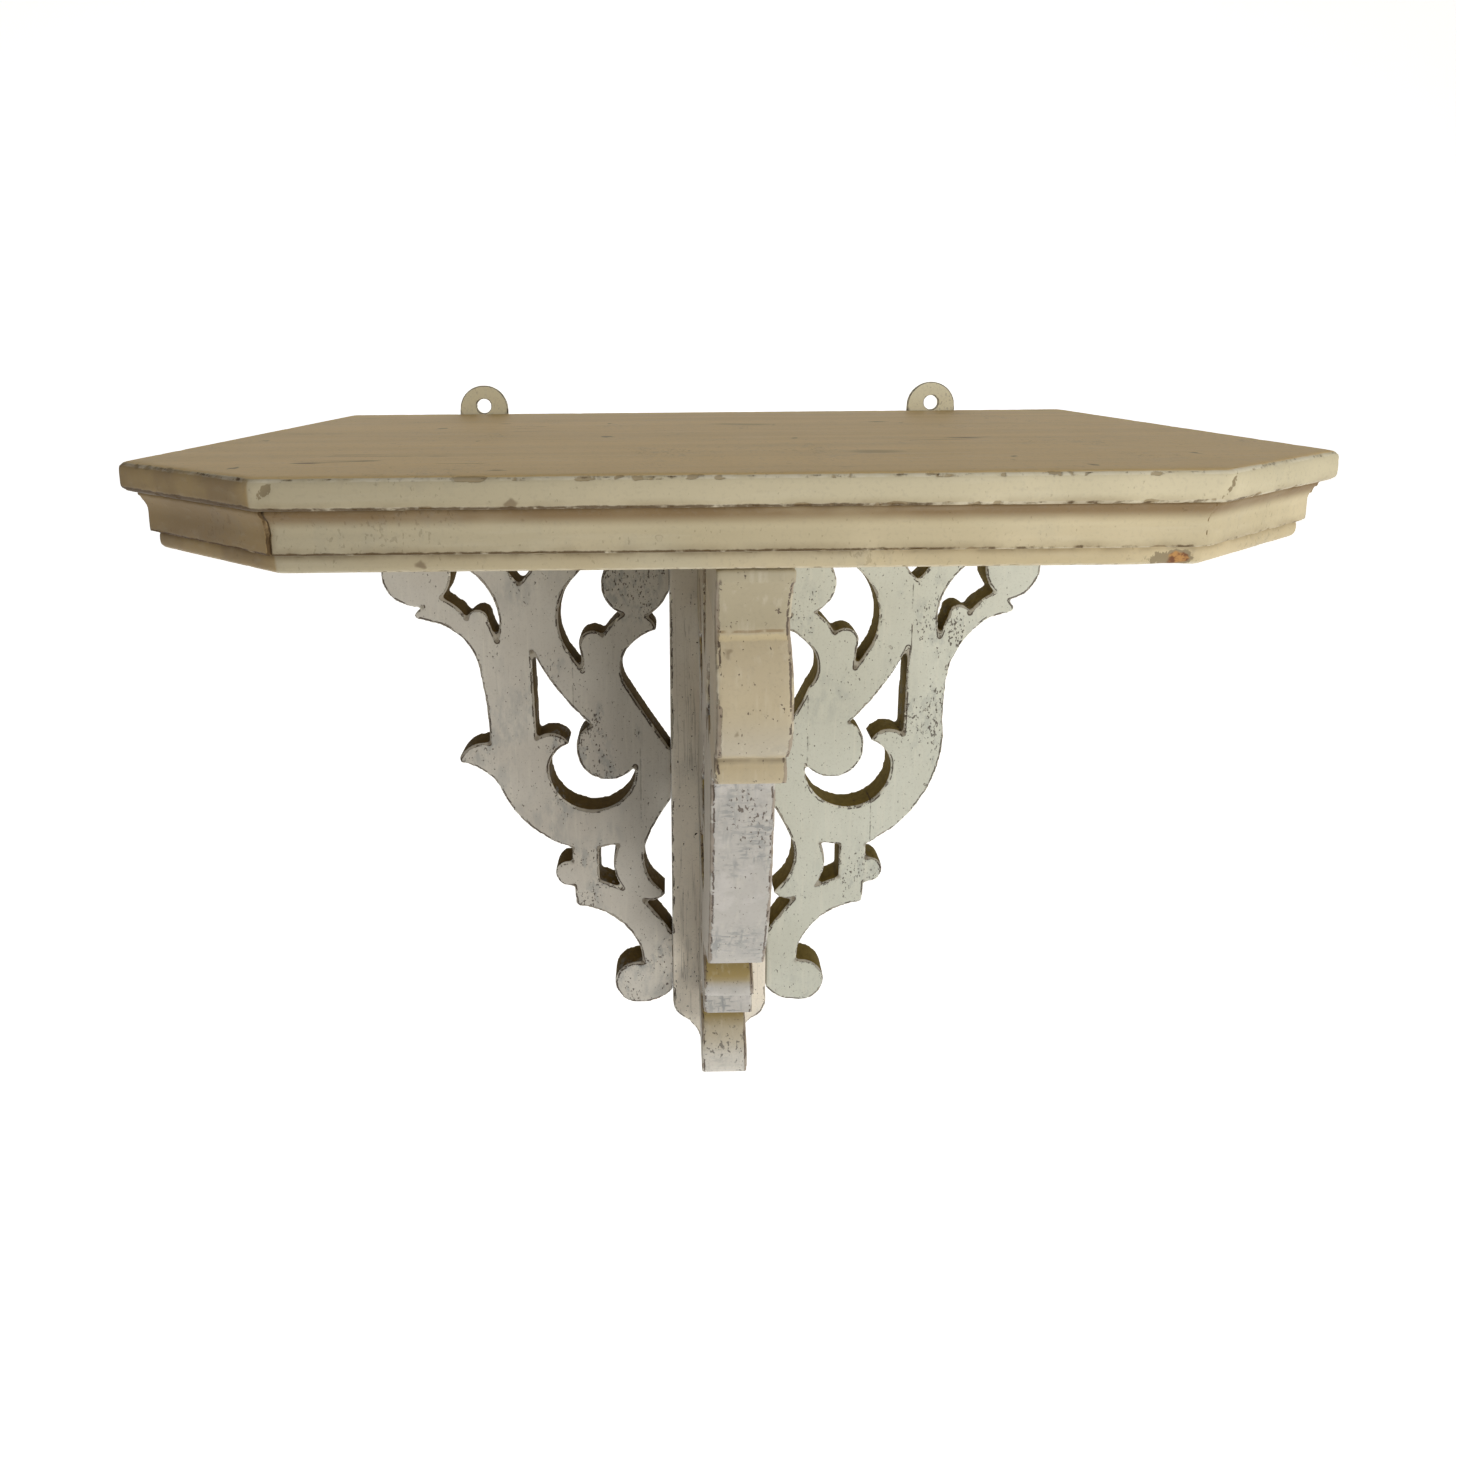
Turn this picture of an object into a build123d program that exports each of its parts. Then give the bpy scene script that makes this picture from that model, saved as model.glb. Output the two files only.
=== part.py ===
"""Bracketed wall shelf with fret-sawn wings, a pierced centre bracket and a moulded, canted top.

Millimetres, +Z up.  The origin is midway between the two hanging holes, on the wall plane.
+X runs along the shelf, +Y points into the wall, so the shelf stands out towards -Y.
"""
from math import hypot
import os

from build123d import *

# ---------------------------------------------------------------- driving dimensions
# Top
SHELF_WIDTH = 603.0          # length along the wall
SHELF_DEPTH = 260.0          # from the wall to the front edge
CANT_X = 93.5                # canted corner, measured along the front
CANT_Y = 43.5                # canted corner, measured along the side
TOP_THICKNESS = 15.4
TOP_EDGE_ROUND = 3.2         # worn upper arris
TOP_LOWER_ROUND = 3.6        # worn lower arris

# Moulded frame under the top
MOULDING_HEIGHT = 21.2
MOULDING_WIDTH = 30.0        # inward from the top's edge
MOULDING_LIP = 5.0           # inset of the moulding's upper edge
MOULDING_FOOT = 8.0          # inset of the moulding's lower edge
COVE_HEIGHT = 14.0           # height of the hollow above the upright foot
RAIL_WIDTH = 30.0
BATTEN_WIDTH = 40.0

# Board that closes the frame below
UNDER_THICKNESS = 9.9
UNDER_INSET = 10.7
UNDER_ROUND = 3.6            # worn lower arris

# Bracket set
BRACKET_SHIFT = 8.0          # the set stands slightly right of the shelf's middle
POST_WIDTH = 84.6
POST_TAIL_WIDTH = 33.0
POST_LENGTH = 558.5
POST_SHOULDER = 494.0        # where the post starts to narrow
BOARD_THICKNESS = 17.0       # wings and post
LEFT_WING_REACH = 236.0      # upper edge, from the post outwards
RIGHT_WING_REACH = 229.0     # this wing was sawn a little shorter
BRACKET_THICKNESS = 36.3
BRACKET_CENTRE = 7.5         # the centre bracket stands a touch left of its post's middle
BRACKET_HOLE_SCALE = 0.94    # the centre bracket's piercings, narrower than the wings'

# Hanging plates
HOLE_SPACING = 378.0
HOLE_RADIUS = 6.0
HOLE_ABOVE_TOP = 6.6
PLATE_RADIUS = 20.0
PLATE_THICKNESS = 2.5
PLATE_DOME_ABOVE_TOP = 4.0   # centre of the domed end
PLATE_TAIL = 34.0            # how far the plate runs down below the top surface
PLATE_SCREW_OFFSET = 11.0
PLATE_SCREW_DROP = 26.0

# Fasteners: shank radius, head radius, length
PLATE_SCREW = (1.8, 3.6, 25.0)
CLAMP_SCREW = (2.2, 4.2, 40.0)
POST_SCREW = (2.5, 4.8, 40.0)
CAP_SCREW = (2.0, 4.0, 36.0)
DOWEL_RADIUS = 4.0
DOWEL_LENGTH = 40.0
MITRE_PIN_RADIUS = 1.2
MITRE_PIN_LENGTH = 26.0
MITRE_PIN_INSET = 19.0
GLUE_BLOCK_LEG = 22.0
GLUE_BLOCK_LENGTH = 50.0
GLUE_BLOCK_OUT = (34.0, 158.0)          # from the post's side to each block
CLAMP_INSET = 22.0                      # from the front and the sides
CLAMP_FRONT_X = 130.0
CLAMP_SIDE_Y = -110.0
CLAMP_BACK = (150.0, -24.0)
CAP_BRACKET_Y = (-90.0, -200.0)
CAP_WING_OUT = (70.0, 180.0)            # from the post's side
POST_SCREW_UP = (-40.0, -271.0, -455.0)  # from the shelf's underside
DOWEL_UP = (-40.0, -271.0, -450.0)

# Levels that follow from the above
TOP_Z = -HOLE_ABOVE_TOP
FRAME_Z = TOP_Z - TOP_THICKNESS
BOARD_Z = FRAME_Z - MOULDING_HEIGHT
UNDER_Z = BOARD_Z - UNDER_THICKNESS


# ---------------------------------------------------------------- small helpers
def outline(start, *strokes):
    """Closed face from a start point and strokes: (end,) is straight, (via, end) is an arc."""
    edges = []
    here = start
    for stroke in strokes:
        end = stroke[-1]
        if len(stroke) == 1:
            edges.append(Line(here, end))
        else:
            edges.append(ThreePointArc(here, stroke[0], end))
        here = end
    if here != start:
        edges.append(Line(here, start))
    return make_face(Wire(edges))


def slab(points, z_low, height):
    """Flat board with a polygonal plan."""
    plan = make_face(Polyline(*points, close=True))
    return Pos(0, 0, z_low) * extrude(plan, height)


def rod(centre, direction, radius, length):
    """Cylinder whose middle is at centre and whose axis runs along direction."""
    plane = Plane(origin=centre, z_dir=direction)
    return plane * Cylinder(radius, length)


def screw(head_point, direction, size):
    """Countersunk screw with its head flush at head_point."""
    shank_radius, head_radius, length = size
    head_depth = head_radius - shank_radius
    plane = Plane(origin=head_point, z_dir=direction)
    head = Cone(head_radius, shank_radius, head_depth, align=(Align.CENTER, Align.CENTER, Align.MIN))
    shank = Cylinder(shank_radius, length, align=(Align.CENTER, Align.CENTER, Align.MIN))
    return plane * (head + shank)


def seat(wood, fasteners):
    """Wood with the holes that its fasteners fill."""
    for fastener in fasteners:
        wood = wood - fastener
    return wood


# ---------------------------------------------------------------- plan of the top
def plan(inset):
    """Corners of the top's plan, moved in by inset from the sides, cants and front."""
    half = SHELF_WIDTH / 2
    cant = hypot(CANT_X, CANT_Y)
    side_y = -(SHELF_DEPTH - CANT_Y) + inset * (cant - CANT_Y) / CANT_X
    front_x = half - CANT_X - inset * (cant - CANT_X) / CANT_Y
    side_x = half - inset
    front_y = -SHELF_DEPTH + inset
    return [
        (-side_x, 0),
        (-side_x, side_y),
        (-front_x, front_y),
        (front_x, front_y),
        (side_x, side_y),
        (side_x, 0),
    ]


def top_board():
    """Top with a worn, rounded edge on every side but the back."""
    board = slab(plan(0), FRAME_Z, TOP_THICKNESS)
    rim = board.edges().filter_by(lambda e: e.center().Y < -1)
    upper = rim.group_by(Axis.Z)[-1]
    board = fillet(upper, TOP_EDGE_ROUND)
    rim = board.edges().filter_by(lambda e: e.center().Y < -1)
    lower = rim.group_by(Axis.Z)[0]
    return fillet(lower, TOP_LOWER_ROUND)


def moulding(corner):
    """Mitred strip between two corners of the plan: a hollow above an upright foot."""
    outer = plan(0)
    inner = plan(MOULDING_WIDTH)
    start = Vector(*outer[corner], 0)
    end = Vector(*outer[corner + 1], 0)
    along = (end - start).normalized()
    inward = Vector(0, 0, 1).cross(along)
    profile = outline(
        (MOULDING_WIDTH, 0),
        ((MOULDING_LIP, 0),),
        ((MOULDING_LIP, -1.8),),
        ((MOULDING_FOOT - 0.8, -6.5), (MOULDING_FOOT - 0.1, -COVE_HEIGHT)),
        ((MOULDING_FOOT, -MOULDING_HEIGHT),),
        ((MOULDING_WIDTH, -MOULDING_HEIGHT),),
    )
    section = Plane(origin=start + Vector(0, 0, FRAME_Z), x_dir=inward, z_dir=along)
    strip = section * extrude(profile, (end - start).length)
    footprint = [outer[corner], outer[corner + 1], inner[corner + 1], inner[corner]]
    return strip & slab(footprint, BOARD_Z, MOULDING_HEIGHT)


def back_rail():
    half = SHELF_WIDTH / 2 - MOULDING_WIDTH
    corners = [(-half, 0), (-half, -RAIL_WIDTH), (half, -RAIL_WIDTH), (half, 0)]
    return slab(corners, BOARD_Z, MOULDING_HEIGHT)


def centre_batten():
    """Batten from the back rail to the front moulding, over the centre bracket."""
    low = BRACKET_SHIFT - BATTEN_WIDTH / 2
    high = BRACKET_SHIFT + BATTEN_WIDTH / 2
    back = -RAIL_WIDTH
    front = -SHELF_DEPTH + MOULDING_WIDTH
    return slab([(low, back), (low, front), (high, front), (high, back)], BOARD_Z, MOULDING_HEIGHT)


def under_board():
    """Board that closes the frame, with a worn, rounded lower edge on every side but the back."""
    board = slab(plan(UNDER_INSET), UNDER_Z, UNDER_THICKNESS)
    rim = board.edges().filter_by(lambda e: e.center().Y < -1)
    lower = rim.group_by(Axis.Z)[0]
    return fillet(lower, UNDER_ROUND)


# ---------------------------------------------------------------- fretwork
# Fret outlines are drawn in (out, up): out from the post, up from the shelf's underside.
def rail_end(reach):
    """Upper outer end of a wing: a slightly hollow end above a ball."""
    return [
        ((reach, 0),),
        ((reach, -8),),
        ((reach - 8.5, -32), (reach - 10, -60.3)),
    ]


PLAIN_SIDE = [
    ((231.6, -85.3), (206, -115.7)),
    ((209.5, -120.5),),
    ((209.6, -124.5), (206.5, -126.5)),
    ((189, -131.5),),
    ((167.2, -152.7), (156, -178)),
    ((153, -208), (153.8, -238)),
    ((141, -287.5), (88, -339.5)),
]
LEAFED_SIDE = [
    ((243, -87), (209, -116.2)),
    ((215.5, -121.5),),
    ((216, -125), (212.5, -127)),
    ((194, -132.5),),
    ((174, -148), (163, -176)),
    ((158.5, -208), (157, -239.5)),
    ((172, -241.5), (183, -251.5)),
    ((184, -255.5), (180, -257.8)),
    ((163, -266), (150, -280)),
    ((123, -319.5), (88, -339.5)),
]
KNOB_AND_ARM = [
    ((88.5, -352.5),),
    ((98, -354), (103.5, -363)),
    ((99, -372.5), (87, -375.8)),
    ((86, -391),),
    ((85, -394.3), (82, -395.5)),
    ((51.5, -408), (29, -438)),
    ((27, -452.5),),
]
SCROLL = [
    ((44, -456), (52.5, -471)),
    ((45.5, -487), (29, -492.5)),
    ((13, -489.5), (0, -479.5)),
]


def wing_outline(reach, side):
    strokes = rail_end(reach) + side + KNOB_AND_ARM + SCROLL
    return outline((0, 0), *strokes)


def bracket_outline():
    """Outer edge of the centre bracket, which stands out almost to the shelf's front edge."""
    return outline(
        (0, 0),
        ((231, 0),),
        ((231, -5),),
        ((223, -18), (218.5, -35)),
        ((230.5, -66), (221, -96.6)),
        ((212, -103.2),),
        ((214.5, -109), (213.5, -116)),
        ((200, -124),),
        ((187, -131), (181.5, -146)),
        ((179.5, -170), (176, -192)),
        ((165.5, -241), (146.5, -289.5)),
        ((119, -313.5), (88, -339.5)),
        ((87, -351),),
        ((95.5, -353.5), (99.5, -362)),
        ((97.5, -370.5), (91, -375.5)),
        ((90, -391),),
        ((88.5, -395.5), (84, -397)),
        ((53, -410), (33, -437)),
        ((33, -446.5),),
        ((53.5, -451), (62, -470)),
        ((56.8, -488), (38, -495)),
        ((16, -491), (0, -480)),
    )


def piercings(gap_bulge=0.6, crescent_shift=0.0):
    """The seven openings of the fret; the two beside the post are open to it."""
    outer = outline(
        (188.7, -71),
        ((184, -87), (192.5, -108.2)),
        ((186, -112),),
        ((180, -116.5), (172, -126.5)),
        ((163.5, -119), (154, -128.5)),
        ((147, -147),),
        ((145, -131),),
        ((153, -103), (168, -85.5)),
        ((178.5, -77), (188.7, -71)),
    )
    tulip = outline(
        (127, -96.5),
        ((140.5, -76), (143, -48)),
        ((127, -20), (111, -48)),
        ((113.5, -76), (127, -96.5)),
    )
    beside_ball = outline(
        (47, -76),
        ((63, -77.5), (76, -87.5)),
        ((94, -121), (84, -160.5)),
        ((75, -174.5),),
        ((77, -156),),
        ((70, -139.3), (57, -142.5)),
        ((50, -132.5), (40, -124.7)),
        ((58, -99), (47, -76)),
    )
    upper_gap = outline(
        (-5, -107),
        ((1, -107),),
        ((8.5, -118.5), (19, -126.5)),
        ((14, -131), (10.5, -138.5)),
        ((25, -145), (36, -155.5)),
        ((41.3 + gap_bulge / 3, -172), (35, -192)),
        ((17.5 + gap_bulge, -219.5), (0, -247)),
        ((-5, -247),),
    )
    crescent = outline(
        (118, -156.5),
        ((116, -235.5),),
        ((103, -231), (88, -241.5)),
        ((101, -250.5), (105.7, -268)),
        ((72, -303), (31, -262.5)),
        ((61, -274.5), (82, -247)),
        ((79, -233), (69, -224.5)),
        ((97, -192.5), (118, -156.5)),
    )
    crescent = Pos(crescent_shift, 0, 0) * crescent
    window = outline(
        (64, -339.5),
        ((47.5, -337.5),),
        ((51.8, -356), (44, -378.5)),
        ((64, -370.5),),
    )
    lower_gap = outline(
        (-5, -294.5),
        ((0, -294.5),),
        ((14, -317), (22.5, -336)),
        ((23.8, -354), (17, -373)),
        ((6, -385),),
        ((12, -390), (24, -391)),
        ((12.5, -405.5), (0, -423)),
        ((-5, -423),),
    )
    return [outer, tulip, beside_ball, upper_gap, crescent, window, lower_gap]


def right_wing():
    plane = Plane(
        origin=(BRACKET_SHIFT + POST_WIDTH / 2, 0, UNDER_Z),
        x_dir=(1, 0, 0),
        z_dir=(0, -1, 0),
    )
    face = wing_outline(RIGHT_WING_REACH, PLAIN_SIDE)
    for opening in piercings(gap_bulge=3.6, crescent_shift=2.2):
        face = face - opening
    return plane * extrude(face, BOARD_THICKNESS)


def left_wing():
    plane = Plane(
        origin=(BRACKET_SHIFT - POST_WIDTH / 2, -BOARD_THICKNESS, UNDER_Z),
        x_dir=(-1, 0, 0),
        z_dir=(0, 1, 0),
    )
    face = wing_outline(LEFT_WING_REACH, LEAFED_SIDE)
    for opening in piercings():
        face = face - opening
    return plane * extrude(face, BOARD_THICKNESS)


def centre_bracket():
    plane = Plane(
        origin=(BRACKET_CENTRE + BRACKET_THICKNESS / 2, -BOARD_THICKNESS, UNDER_Z),
        x_dir=(0, -1, 0),
        z_dir=(-1, 0, 0),
    )
    solid = extrude(bracket_outline(), BRACKET_THICKNESS)
    for opening in piercings():
        cutter = scale(extrude(opening, BRACKET_THICKNESS), by=(BRACKET_HOLE_SCALE, 1, 1))
        solid = solid - cutter
    return plane * solid


def back_post():
    """Post behind the centre bracket, with an ogee tail."""
    half = POST_WIDTH / 2
    tail = POST_TAIL_WIDTH / 2
    shoulder = -POST_SHOULDER
    face = outline(
        (0, 0),
        ((half, 0),),
        ((half, shoulder),),
        ((half - 4, shoulder - 10), (half - 13, shoulder - 16.5)),
        ((tail + 2.8, shoulder - 31), (tail, -POST_LENGTH + 10)),
        ((tail, -POST_LENGTH),),
        ((0, -POST_LENGTH),),
    )
    plane = Plane(origin=(BRACKET_SHIFT, 0, UNDER_Z), x_dir=(1, 0, 0), z_dir=(0, -1, 0))
    right_half = extrude(face, BOARD_THICKNESS)
    return plane * (right_half + mirror(right_half, about=Plane.YZ))


def glue_blocks():
    """Triangular blocks in the angle between the wings and the shelf's underside."""
    leg = GLUE_BLOCK_LEG
    section = outline((0, 0), ((leg, 0),), ((0, -leg),))
    block = extrude(section, GLUE_BLOCK_LENGTH)
    blocks = []
    for side in (-1, 1):
        for out in GLUE_BLOCK_OUT:
            near = BRACKET_SHIFT + side * (POST_WIDTH / 2 + out)
            right_end = max(near, near + side * GLUE_BLOCK_LENGTH)
            plane = Plane(
                origin=(right_end, -BOARD_THICKNESS, UNDER_Z),
                x_dir=(0, -1, 0),
                z_dir=(-1, 0, 0),
            )
            blocks.append(plane * block)
    return blocks


# ---------------------------------------------------------------- hanging plates
def hanging_plate(x):
    """Domed plate let into the back, with the hanging hole just above the top."""
    face = outline(
        (-PLATE_RADIUS, -PLATE_TAIL),
        ((PLATE_RADIUS, -PLATE_TAIL),),
        ((PLATE_RADIUS, PLATE_DOME_ABOVE_TOP),),
        ((0, PLATE_DOME_ABOVE_TOP + PLATE_RADIUS), (-PLATE_RADIUS, PLATE_DOME_ABOVE_TOP)),
    )
    plane = Plane(origin=(x, 0, TOP_Z), x_dir=(1, 0, 0), z_dir=(0, -1, 0))
    return plane * extrude(face, PLATE_THICKNESS)


def hanging_hole(x):
    return rod((x, 0, 0), (0, 1, 0), HOLE_RADIUS, 4 * PLATE_THICKNESS)


# ---------------------------------------------------------------- fasteners
def plate_screws():
    screws = []
    for x in (-HOLE_SPACING / 2, HOLE_SPACING / 2):
        for side in (-PLATE_SCREW_OFFSET, PLATE_SCREW_OFFSET):
            head = (x + side, 0, TOP_Z - PLATE_SCREW_DROP)
            screws.append(screw(head, (0, -1, 0), PLATE_SCREW))
    return screws


def clamp_screws():
    """Screws from below that clamp board, frame and top together."""
    front_y = -SHELF_DEPTH + CLAMP_INSET
    side_x = SHELF_WIDTH / 2 - CLAMP_INSET
    back_x, back_y = CLAMP_BACK
    screws = []
    for side in (-1, 1):
        for x, y in ((CLAMP_FRONT_X, front_y), (side_x, CLAMP_SIDE_Y), (back_x, back_y)):
            screws.append(screw((side * x, y, UNDER_Z), (0, 0, 1), CLAMP_SCREW))
    return screws


def cap_screws():
    """Screws from above, through the closing board into the tops of wings and bracket."""
    places = [(BRACKET_SHIFT, y) for y in CAP_BRACKET_Y]
    for side in (-1, 1):
        for out in CAP_WING_OUT:
            places.append((BRACKET_SHIFT + side * (POST_WIDTH / 2 + out), -BOARD_THICKNESS / 2))
    return [screw((x, y, BOARD_Z), (0, 0, -1), CAP_SCREW) for x, y in places]


def post_screws():
    """Screws from behind, through the post into the centre bracket."""
    return [screw((BRACKET_SHIFT, 0, UNDER_Z + up), (0, -1, 0), POST_SCREW) for up in POST_SCREW_UP]


def wing_dowels():
    """Dowels across the joints between the post and the wings."""
    dowels = []
    for side in (-1, 1):
        for up in DOWEL_UP:
            joint = (BRACKET_SHIFT + side * POST_WIDTH / 2, -BOARD_THICKNESS / 2, UNDER_Z + up)
            dowels.append(rod(joint, (1, 0, 0), DOWEL_RADIUS, DOWEL_LENGTH))
    return dowels


def mitre_pins():
    """One pin across each mitre of the moulded frame."""
    outer = plan(0)
    middle = plan(MITRE_PIN_INSET)
    pins = []
    for corner in (1, 2, 3, 4):
        before = (Vector(*outer[corner], 0) - Vector(*outer[corner - 1], 0)).normalized()
        after = (Vector(*outer[corner + 1], 0) - Vector(*outer[corner], 0)).normalized()
        centre = (middle[corner][0], middle[corner][1], FRAME_Z - MOULDING_HEIGHT / 2)
        pins.append(rod(centre, before + after, MITRE_PIN_RADIUS, MITRE_PIN_LENGTH))
    return pins


# ---------------------------------------------------------------- assembly
def build():
    """Every node by name, each with the holes that its fasteners need."""
    plate_x = HOLE_SPACING / 2
    plate_blanks = [hanging_plate(-plate_x), hanging_plate(plate_x)]
    plate_fixings = plate_screws()
    clamps = clamp_screws()
    caps = cap_screws()
    post_fixings = post_screws()
    dowels = wing_dowels()
    pins = mitre_pins()
    frame_fixings = clamps + pins

    return {
        "top_board": seat(top_board(), plate_blanks + clamps),
        "left_side_moulding": seat(moulding(0), frame_fixings),
        "left_cant_moulding": seat(moulding(1), frame_fixings),
        "front_moulding": seat(moulding(2), frame_fixings),
        "right_cant_moulding": seat(moulding(3), frame_fixings),
        "right_side_moulding": seat(moulding(4), frame_fixings),
        "back_rail": seat(back_rail(), plate_blanks + plate_fixings + clamps),
        "centre_batten": centre_batten(),
        "under_board": seat(under_board(), clamps + caps),
        "back_post": seat(back_post(), post_fixings + dowels),
        "left_wing": seat(left_wing(), caps + dowels),
        "right_wing": seat(right_wing(), caps + dowels),
        "centre_bracket": seat(centre_bracket(), caps + post_fixings),
        "left_hanging_plate": seat(plate_blanks[0], plate_fixings + [hanging_hole(-plate_x)]),
        "right_hanging_plate": seat(plate_blanks[1], plate_fixings + [hanging_hole(plate_x)]),
        "hanging_plate_screws": Compound(children=plate_fixings),
        "clamp_screws": Compound(children=clamps),
        "cap_screws": Compound(children=caps),
        "post_screws": Compound(children=post_fixings),
        "wing_dowels": Compound(children=dowels),
        "mitre_pins": Compound(children=pins),
        "glue_blocks": Compound(children=glue_blocks()),
    }


os.makedirs("parts", exist_ok=True)
for name, shape in build().items():
    export_step(shape, f"parts/{name}.step")
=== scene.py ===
from math import radians
from types import SimpleNamespace

import bmesh
import bpy
import numpy as np
from mathutils import Matrix, Vector, kdtree, noise
from mathutils.bvhtree import BVHTree


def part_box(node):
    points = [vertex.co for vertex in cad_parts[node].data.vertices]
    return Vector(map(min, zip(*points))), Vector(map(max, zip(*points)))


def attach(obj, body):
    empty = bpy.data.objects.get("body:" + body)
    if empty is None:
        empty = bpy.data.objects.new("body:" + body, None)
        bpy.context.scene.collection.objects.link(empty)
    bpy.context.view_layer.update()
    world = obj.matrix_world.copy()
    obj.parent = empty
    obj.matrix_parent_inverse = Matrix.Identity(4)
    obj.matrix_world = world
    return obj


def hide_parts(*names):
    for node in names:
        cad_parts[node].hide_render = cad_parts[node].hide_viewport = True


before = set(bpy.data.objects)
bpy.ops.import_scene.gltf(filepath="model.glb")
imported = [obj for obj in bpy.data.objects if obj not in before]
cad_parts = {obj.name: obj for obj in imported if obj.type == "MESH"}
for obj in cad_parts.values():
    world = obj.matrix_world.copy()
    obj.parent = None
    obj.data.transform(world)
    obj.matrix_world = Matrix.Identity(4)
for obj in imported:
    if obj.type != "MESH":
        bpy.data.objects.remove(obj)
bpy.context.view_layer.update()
scene = bpy.context.scene
MM = 0.001

# ---------------------------------------------------------------- places, read from the CAD
TOP_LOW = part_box("top_board")[0]
UNDER_LOW, UNDER_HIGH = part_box("under_board")

# ---------------------------------------------------------------- how the worn copies are made
WELD = 0.001 * MM
SAMPLE_STEP = 1.0 * MM     # spacing of the points along an arris
REACH = 30 * MM            # distances to arrises and hollows are measured this far
FAR = 30 * MM              # stands for "no seam or joint near here"
FACET_ANGLE = 0.08         # on a rounded arris, edges this sharp are followed
CORNER_ANGLE = 0.6         # edges this sharp are arrises on any board
MID_SLOPE = (0.55, 0.85)   # upward part of the normal in the middle of a rounded arris
FLUSH = 0.2 * MM           # an arris this close to a neighbour is protected
PROBE = 0.4 * MM           # how far outside an arris a neighbour is looked for
DENT_BAND = 4.5 * MM       # dents fade out this far from the arris
DENT_PITCH = 95.0
DENT_FRACTAL = (0.9, 2.1, 3)
WAVE_PITCH = 14.0
WAVE_DEPTH = 0.12 * MM     # hand-planed unevenness


# ---------------------------------------------------------------- mesh helpers
def add_object(name, data):
    thing = bpy.data.objects.new(name, data)
    scene.collection.objects.link(thing)
    return thing


def evaluated(thing):
    """A mesh with the object's modifiers applied."""
    state = thing.evaluated_get(bpy.context.evaluated_depsgraph_get())
    return bpy.data.meshes.new_from_object(state)


def welded(mesh):
    """The mesh's faces with doubled vertices joined."""
    shell = bmesh.new()
    shell.from_mesh(mesh)
    bmesh.ops.remove_doubles(shell, verts=shell.verts, dist=WELD)
    return shell


def sharp_points(shell, least_angle, rounded):
    """Points along the convex and the concave sharp edges; on a rounded arris, along its middle."""
    convex = []
    concave = []
    for edge in shell.edges:
        if len(edge.link_faces) != 2:
            continue
        angle = edge.calc_face_angle_signed(0.0)
        outward = (edge.link_faces[0].normal + edge.link_faces[1].normal).normalized()
        middle = MID_SLOPE[0] < abs(outward.z) < MID_SLOPE[1]
        if rounded and not (middle or abs(angle) > CORNER_ANGLE):
            continue
        if abs(angle) < least_angle:
            continue
        start = edge.verts[0].co
        end = edge.verts[1].co
        count = max(1, int((end - start).length / SAMPLE_STEP))
        points = [start.lerp(end, i / count) for i in range(count + 1)]
        if angle > 0:
            convex.extend((point, outward) for point in points)
        else:
            concave.extend(points)
    return convex, concave


def skin(thing):
    """Search tree over the faces of an object."""
    corners = [vertex.co.copy() for vertex in thing.data.vertices]
    return BVHTree.FromPolygons(corners, [tuple(face.vertices) for face in thing.data.polygons])


SKINS = {name: skin(thing) for name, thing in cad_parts.items()}


def sort_by_contact(node, convex, concave):
    """Drop arrises that lie flush against a neighbour; those that meet one at an angle are hollows."""
    low, high = (Vector(corner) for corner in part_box(node))
    near = Vector((MM, MM, MM))
    neighbours = []
    for other, tree in SKINS.items():
        other_low, other_high = (Vector(corner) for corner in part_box(other))
        apart = any(other_low[i] > high[i] + MM or other_high[i] < low[i] - MM for i in range(3))
        if other != node and not apart and "screws" not in other and "pins" not in other:
            neighbours.append((other_low - near, other_high + near, tree))
    exposed = []
    for point, outward in convex:
        buried = flush = False
        for other_low, other_high, tree in neighbours:
            if not all(other_low[i] < point[i] < other_high[i] for i in range(3)):
                continue
            flush = flush or tree.find_nearest(point, FLUSH)[0] is not None
            probe = point + outward * PROBE
            place, normal, _, _ = tree.find_nearest(probe, MM)
            buried = buried or (place is not None and (probe - place).dot(normal) < 0)
        if buried:
            concave.append(point)
        elif not flush:
            exposed.append(point)
    return exposed, concave


def distance_to(points, coords):
    """Distance from each coordinate to the nearest point, no more than REACH."""
    if not points:
        return np.full(len(coords), REACH)
    tree = kdtree.KDTree(len(points))
    for index, point in enumerate(points):
        tree.insert(point, index)
    tree.balance()
    return np.array([min(tree.find(place)[2], REACH) for place in coords])


def read_vectors(mesh, key):
    """One row of three numbers for every vertex."""
    rows = np.empty(len(mesh.vertices) * 3)
    mesh.vertices.foreach_get(key, rows)
    return rows.reshape(-1, 3)


def relax(mesh, coords, rounds):
    """Laplacian smoothing: each vertex goes halfway to the mean of its neighbours."""
    edges = np.empty(len(mesh.edges) * 2, dtype=np.int64)
    mesh.edges.foreach_get("vertices", edges)
    ends = edges.reshape(-1, 2)
    here = np.concatenate([ends[:, 0], ends[:, 1]])
    there = np.concatenate([ends[:, 1], ends[:, 0]])
    degree = np.maximum(np.bincount(here, minlength=len(coords)), 1)
    for _ in range(rounds):
        for axis in range(3):
            total = np.bincount(here, weights=coords[there, axis], minlength=len(coords))
            coords[:, axis] += 0.5 * (total / degree - coords[:, axis])
    return coords


def voxel_mesh(mesh, name, voxel):
    """The same shape as one even, closed skin of small quads."""
    blank = add_object(name + "_blank", mesh)
    even = blank.modifiers.new("Even", "REMESH")
    even.mode = "VOXEL"
    even.voxel_size = voxel
    fine = evaluated(blank)
    bpy.data.objects.remove(blank)
    fine.name = name
    return fine


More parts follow.
